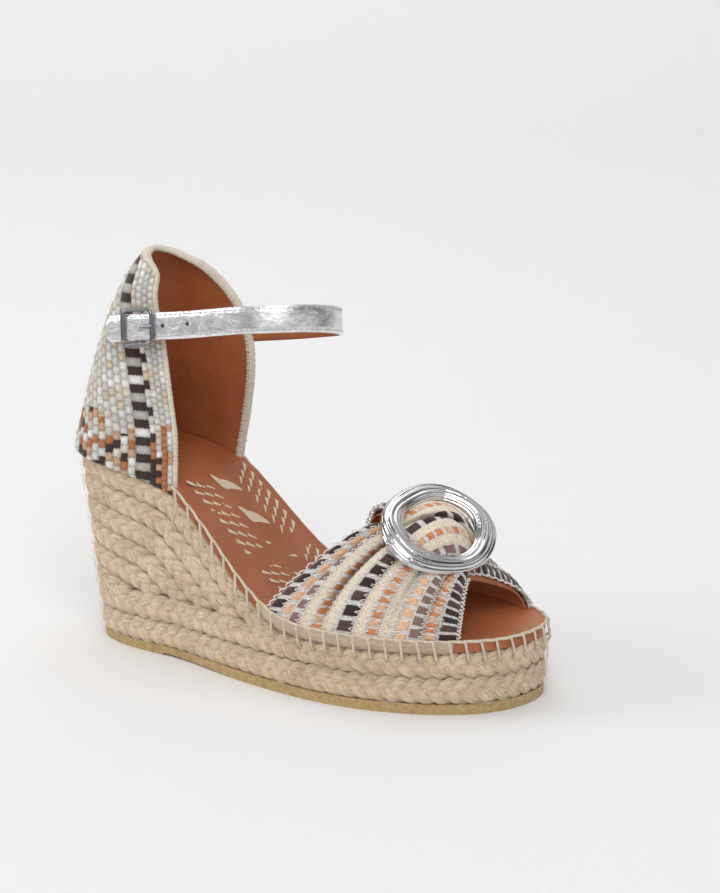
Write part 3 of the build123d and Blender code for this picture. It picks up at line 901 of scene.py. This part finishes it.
def lace(name, grid, out, run):
    """White thread that zigzags over the joins between stripes, and loops past the cut edge.
    Each thread reads its place from the cloth's own grid."""
    heap = Heap()
    rows, columns = grid.shape[:2]
    reach_mm = run[0, -1]

    def spot(across, reach, lift):
        i = np.clip(across, 0, 1) * (rows - 1.001)
        j = np.clip(reach, 0, 1) * (columns - 1.001)
        low_i, low_j = i.astype(int), j.astype(int)
        p, q = (i - low_i)[:, None], (j - low_j)[:, None]
        place = (grid[low_i, low_j] * (1 - p) * (1 - q) + grid[low_i + 1, low_j] * p * (1 - q)
                 + grid[low_i, low_j + 1] * (1 - p) * q + grid[low_i + 1, low_j + 1] * p * q)
        return place + out[low_i, low_j] * np.asarray(lift)[:, None], out[low_i, low_j]

    for edge in stripe_edges[1:-1]:
        reach = np.linspace(0.02, 0.97, 220)
        swing = 0.011 * np.sin(reach * reach_mm * 2.6 + edge * 40)
        swing = swing + 0.004 * rng.standard_normal(220)
        path, facing = spot(edge + swing, reach, 0.35 + 0.35 * np.cos(reach * reach_mm * 5.2))
        heap.cord(path, facing, 0.24, 0.2, 5, WHITE)
    for edge, push in ((1.0, 1), (0.0, -1)):
        reach = np.linspace(0.02, 0.98, 420)
        path, facing = spot(np.full(420, edge), reach, np.full(420, 0.2))
        away = unit(grid[-1 if push > 0 else 0].mean(axis=0) - grid[rows // 2].mean(axis=0))
        hoop = np.abs(np.sin(reach * reach_mm * 1.05))
        sway = 0.3 * np.sin(reach * 90)
        path = path + away * (1.9 * hoop ** 0.7 - 0.4)[:, None] + facing * sway[:, None]
        heap.cord(path, facing, 0.32, 0.28, 5, WHITE)
    dress(heap.build(name), cream_cord, "sandal", "cream_cord")


def vamp_side(name, side, rows, columns, inset, relief):
    """Fan from the sole's edge to the ring. x slides from its place at the sole to its place
    under the ring, while the arch share runs from its foot to the crown."""
    across, reach = np.meshgrid(np.linspace(0, 1, rows), np.linspace(0, 1, columns), indexing="ij")
    if side < 0:
        foot_x, top_x = 118 + 89 * across, 172 + 33 * across
        share = 0.455 * reach
    else:
        foot_x, top_x = 118 + 97 * across, 172 + 31 * across
        share = 1 - 0.545 * reach
    slide = reach ** 1.35
    x = foot_x * (1 - slide) + top_x * slide
    grid = dome_point(x, share, inset)
    out = normals_of(grid)
    out = out * np.sign(out[..., 2:3].mean())
    run = np.cumsum(np.linalg.norm(np.diff(grid, axis=1, prepend=grid[:, :1]), axis=2), axis=1)
    run = np.broadcast_to(run.mean(axis=0, keepdims=True), run.shape)
    lift, tint = stripe_weave(across, run, 0 if side < 0 else 2)
    fold = pleats(across, reach)
    # Painted shade: the cloth darkens in the valleys between the pleats.
    tint = tint * (1 - 0.55 * np.clip(-fold / 2.4, 0, 1))[..., None]
    grid = grid + out * (fold + lift * relief)[..., None]
    if relief:
        lace(f"vamp_lace_{name[12:]}", grid, out, run)
    order = slice(None, None, 1 if side < 0 else -1)
    return from_grid(name, grid[:, order], tint=tint[:, order])


FOOT_MIDDLE = (168.0, 0.0, 35.0)
for side, word in ((-1, "lateral"), (1, "medial")):
    cloth = face_away(vamp_side(f"vamp_fabric_{word}", side, 230, 120, 0.4, 1.0), FOOT_MIDDLE)
    thicken(cloth, 0.9)
    dress(cloth, weave, "sandal", "woven_fabric", f"vamp_fabric_{word}")
    print("cloth area", round(sum(face.area for face in cloth.data.polygons) * 1e4, 1), "cm2")
    lining = face_away(vamp_side(f"vamp_lining_{word}", side, 60, 40, 3.4, 0.0), FOOT_MIDDLE)
    thicken(lining, 0.8)
    dress(lining, tan, "sandal", "tan_leather", f"vamp_lining_{word}")

# %% [markdown]
# The knot is the same cloth bunched through the ring. It is a dome with one deep crease, and
# the ring is a torus whose section is combed by ridges that drift as they go round.

# %% Knot and ring
def on_ring(a, b, c):
    """Point at a across, b up and c out from the ring's centre."""
    return (RING_AT + a[..., None] * RING_ACROSS + b[..., None] * RING_UP
            + c[..., None] * RING_FACING)


def knot():
    """Squircle-mapped dome: height = 10.5 (1 - r^2.6) - 5, with two creases, a swell and the
    cloth's own stitches."""
    u, v = np.meshgrid(np.linspace(-1, 1, 150), np.linspace(-1, 1, 150), indexing="ij")
    a = u * np.sqrt(1 - v ** 2 / 2)
    b = v * np.sqrt(1 - u ** 2 / 2)
    r = np.sqrt(a ** 2 + b ** 2)
    crease_at = b - 0.28 * np.cos(a * 1.6) + 0.10 + 0.35 * a
    crease = np.exp(-(crease_at / 0.055) ** 2) * (1 - r ** 4)
    second = np.exp(-((b + 0.62 + 0.5 * a ** 2) / 0.05) ** 2) * (1 - r ** 4) * 0.5
    run = 17.0 * (a + 0.3 * b) + 60
    across = np.clip(0.5 + 0.34 * (b + 0.25 * a ** 2) - 0.08, 0, 1)
    lift, tint = stripe_weave(across, run, 1)
    swell = 1.2 * np.sin(3 * a + 1) * (1 - r ** 2)
    c = 10.5 * (1 - r ** 2.6) - 5.0 - 3.0 * crease - 1.6 * second + swell + 0.8 * lift
    # Painted shade: the cloth darkens in its two creases.
    tint = tint * (1 - 0.6 * crease - 0.35 * second)[..., None]
    return from_grid("vamp_knot", on_ring(18.5 * a, 17.5 * b, c), tint=tint)


def ring():
    """Torus whose half width and half height waver slowly. Ridges up to 0.55 mm high run
    round it, drifting across the section."""
    round_, turn = np.meshgrid(np.linspace(0, 2 * np.pi, 320, endpoint=False),
                               np.linspace(0, 2 * np.pi, 72, endpoint=False), indexing="ij")
    radius = 19.6 * (1 + 0.035 * np.cos(2 * round_ + 0.4) + 0.03 * np.cos(3 * round_ + 2.1)
                     + 0.012 * np.cos(5 * round_))
    half_w = 4.7 + 0.7 * np.cos(round_ + 2.6) + 0.35 * np.cos(3 * round_ + 1)
    half_h = 2.7 + 0.4 * np.cos(2 * round_ + 1)
    comb = 11 * turn + 2.4 * np.sin(round_ + 0.5) + 1.5 * np.sin(3 * round_)
    ridge = 0.55 * np.abs(np.sin(comb / 2 + 0.4 * np.sin(5 * round_))) ** 0.6 - 0.3
    ridge *= 0.35 + 0.65 * np.clip(np.sin(turn) + 0.6, 0, 1)
    swing = 0.8 * np.sin(2 * round_ + 0.9)
    out = radius + (half_w + ridge) * np.cos(turn)
    up = (half_h + ridge) * np.sin(turn) + swing
    grid = on_ring(out * np.cos(round_) * 1.05, out * np.sin(round_) * 0.98, up)
    return from_grid("vamp_ring", grid, True, True)


puff = face_away(knot(), RING_AT - 12 * RING_FACING)
thicken(puff, 1.2)
dress(puff, weave, "sandal", "woven_fabric", "vamp_knot")
dress(face_away(ring(), RING_AT), ring_metal, "sandal", "silver_metal", "vamp_ring")

# %% [markdown]
# The ankle strap is one strip of foil-covered leather on a tan backing. It lies in a tilted
# plane: from the sewn end on the inner side round the ankle and through the buckle.

# %% Ankle strap
PITCH, ROLL = math.radians(9.45), math.radians(12.9)
STRAP_AT = np.array([50.2, -30.3, 154.0])
LOOP, CENTRE, HINGE, TAIL = 29.5, 51.5, 21.5, 17.5
STRAP_N = unit(np.array([-math.tan(PITCH), math.tan(ROLL), 1.0]))
STRAP_X = np.array([math.cos(PITCH), 0, math.sin(PITCH)])
STRAP_Y = np.cross(STRAP_N, STRAP_X)


def in_strap(x, y, z):
    """Point of the strap's plane: x forward, y inwards, z across its width."""
    x, y, z = np.broadcast_arrays(*(np.asarray(v, float) for v in (x, y, z)))
    return STRAP_AT + x[..., None] * STRAP_X + y[..., None] * STRAP_Y + z[..., None] * STRAP_N


def strap_path(count, start, end_x):
    """Middle line of the strap: outer run, half circle, inner run. Returns x, y, the outward
    direction's x and y, and the distance along."""
    first, arc = CENTRE - start, math.pi * LOOP
    s = np.linspace(0, first + arc + (CENTRE - end_x), count)
    bend = np.clip((s - first) / arc, 0, 1) * np.pi
    past = np.maximum(s - first - arc, 0)
    x = np.where(s < first, start + s, CENTRE + LOOP * np.sin(bend) - past)
    y = LOOP - LOOP * np.cos(bend)
    return x, y, np.sin(bend), -np.cos(bend), s


def strap_layer(name, low, high, width, finish, slot_name, stands_for):
    """Strip between two distances from the middle line, with softly rounded edges."""
    x, y, ox, oy, s = strap_path(420, -TAIL, -4.5)
    sag = 0.25 * np.sin(s * 0.11) * np.sin(s * 0.037)
    section = [(low, -1), (high - 0.25, -1), (high, -0.96), (high + 0.12, -0.5),
               (high + 0.15, 0), (high + 0.12, 0.5), (high, 0.96), (high - 0.25, 1), (low, 1),
               (low, 0.5), (low, -0.5)]
    half = width / 2 * np.clip(1.0 - 0.55 * np.clip(1 - s / 3.5, 0, 1) ** 2, 0, 1)
    rings = [in_strap(x + ox * d, y + oy * d, half * k + sag) for d, k in section]
    piece = face_away(from_grid(name, capped(np.stack(rings, axis=1)), False, True), -HOME)
    return dress(piece, finish, None, slot_name, *stands_for)


def consistent(piece):
    """Let Blender turn a closed mesh's faces outwards."""
    work = bmesh.new()
    work.from_mesh(piece.data)
    bmesh.ops.remove_doubles(work, verts=work.verts, dist=1e-7)
    bmesh.ops.recalc_face_normals(work, faces=work.faces)
    work.to_mesh(piece.data)
    work.free()


strap_face = strap_layer("ankle_strap_leather", -0.1, 0.9, 12.0, silver_leather, "metallic_leather",
                         ("strap_face", "strap_end", "strap_anchor"))
strap_lining = strap_layer("ankle_strap_lining", -0.9, -0.1, 12.2, tan, "tan_leather",
                           ("strap_lining",))


def strap_stitches():
    """Two rows of short stitches 1.4 mm inside the strap's edges."""
    heap = Heap()
    x, y, ox, oy, s = strap_path(2000, -TAIL + 1.8, -3.5)
    for side in (-1, 1):
        for start in np.arange(0.8, s[-1] - 2.5, 2.6):
            at = start + np.linspace(0, 1.7, 5)
            px, py, qx, qy = (np.interp(at, s, w) for w in (x, y, ox, oy))
            lift = 0.98 + 0.22 * np.sin(np.linspace(0, np.pi, 5))
            path = in_strap(px + qx * lift, py + qy * lift, np.full(5, side * 4.7))
            outward = unit(qx[:, None] * STRAP_X + qy[:, None] * STRAP_Y)
            heap.cord(path, outward, 0.2, 0.16, 5, (0.62, 0.61, 0.60))
    return dress(heap.build("ankle_strap_stitches"), cream_cord, None, "cream_cord")


def punched_holes():
    """Punched holes as near-black discs on the strap's face: painted shade where each hole opens.
    """
    heap = Heap()
    for x in (13.0, 26.0):
        turn, size = np.meshgrid(np.linspace(0, 2 * np.pi, 16, endpoint=False), [0.0, 0.5, 0.95],
                                 indexing="ij")
        grid = in_strap(x + size * np.cos(turn), np.full(turn.shape, -1.08), size * np.sin(turn))
        # The near-black tint is painted shade inside the hole.
        heap.add(grid, True, False, tint=(0.05, 0.04, 0.04))
    dress(heap.build("strap_holes"), cream_cord, "ankle_strap", "metallic_leather")


stitches = strap_stitches()
punched_holes()
for piece in (strap_face, strap_lining):
    consistent(piece)
for piece in (strap_face, strap_lining, stitches):
    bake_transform(piece)
paint("buckle_tab", silver_leather)

# %% [markdown]
# A plain pale room, three soft lights and one long lens. The camera looks at the shoe from the
# front of its outer side, a little above, and the floor is the same pale grey as the walls.

# %% Room, lights and camera
def area_light(name, place, aim, size, power):
    data = bpy.data.lights.new(name, "AREA")
    data.size, data.energy = size, power
    lamp = bpy.data.objects.new(name, data)
    bpy.context.scene.collection.objects.link(lamp)
    lamp.location = place
    look = np.array(aim) - np.array(place)
    lamp.rotation_euler = Vector(look).to_track_quat("-Z", "Y").to_euler()


def floor():
    """Floor that sweeps up into a wall: flat, then a quarter circle of 900 mm, then upright."""
    angle = np.linspace(0, np.pi / 2, 14)
    across = np.linspace(-4000, 4000, 3)
    bend_y = np.concatenate([[-3000.0, -500.0, 900.0], 1500 + 900 * np.sin(angle), [2400.0]])
    bend_z = np.concatenate([[0.0, 0.0, 0.0], 900 - 900 * np.cos(angle), [3500.0]]) - 0.05
    x, y = np.meshgrid(across, bend_y, indexing="ij")
    z = np.broadcast_to(bend_z, x.shape)
    turn = math.radians(29.5)
    cos, sin = math.cos(turn), math.sin(turn)
    piece = from_grid("floor", np.stack([x * cos - y * sin, x * sin + y * cos, z], -1))
    finish, _, shader = new_finish("pale_floor", 0.95, specular=0.05)
    shader.inputs["Base Color"].default_value = (0.84, 0.84, 0.84, 1)
    piece.data.materials.append(finish)


floor()
area_light("key", (0.9, -1.5, 1.9), (0, 0, 0.06), 1.3, 26)
area_light("side", (-1.7, -0.9, 1.0), (0, 0, 0.08), 0.9, 12)
area_light("wall", (-0.6, 0.7, 2.3), (-0.6, 1.9, 0.6), 2.0, 24)
world = bpy.data.worlds.new("soft_room")
world.use_nodes = True
room = world.node_tree
direction = room.nodes.new("ShaderNodeTexCoord").outputs["Generated"]
cards = noise_on(room, direction, 1.7, 1, (1, 1, 1.6))
glow = ramp_on(room, cards, [(0.42, (0.10, 0.10, 0.105)), (0.56, (0.95, 0.95, 0.95))])
room.links.new(glow, room.nodes["Background"].inputs["Color"])
room.nodes["Background"].inputs["Strength"].default_value = 0.75
bpy.context.scene.world = world
bpy.context.scene.view_settings.view_transform = "Standard"

AZIMUTH, ELEVATION, DISTANCE = math.radians(29.49), math.radians(16.97), 1231.9
target = np.array([110.0, 0.0, 60.0])
back = np.array([math.sin(AZIMUTH) * math.cos(ELEVATION), -math.cos(AZIMUTH) * math.cos(ELEVATION),
                 math.sin(ELEVATION)])
lens = bpy.data.cameras.new("camera")
lens.lens, lens.sensor_width = 110.13, 36.0
lens.shift_x, lens.shift_y = 0.0775, 0.0966
camera = bpy.data.objects.new("camera", lens)
bpy.context.scene.collection.objects.link(camera)
camera.location = to_frame(target + DISTANCE * back)
camera.rotation_euler = (math.pi / 2 - ELEVATION, 0, AZIMUTH)
bpy.context.scene.camera = camera
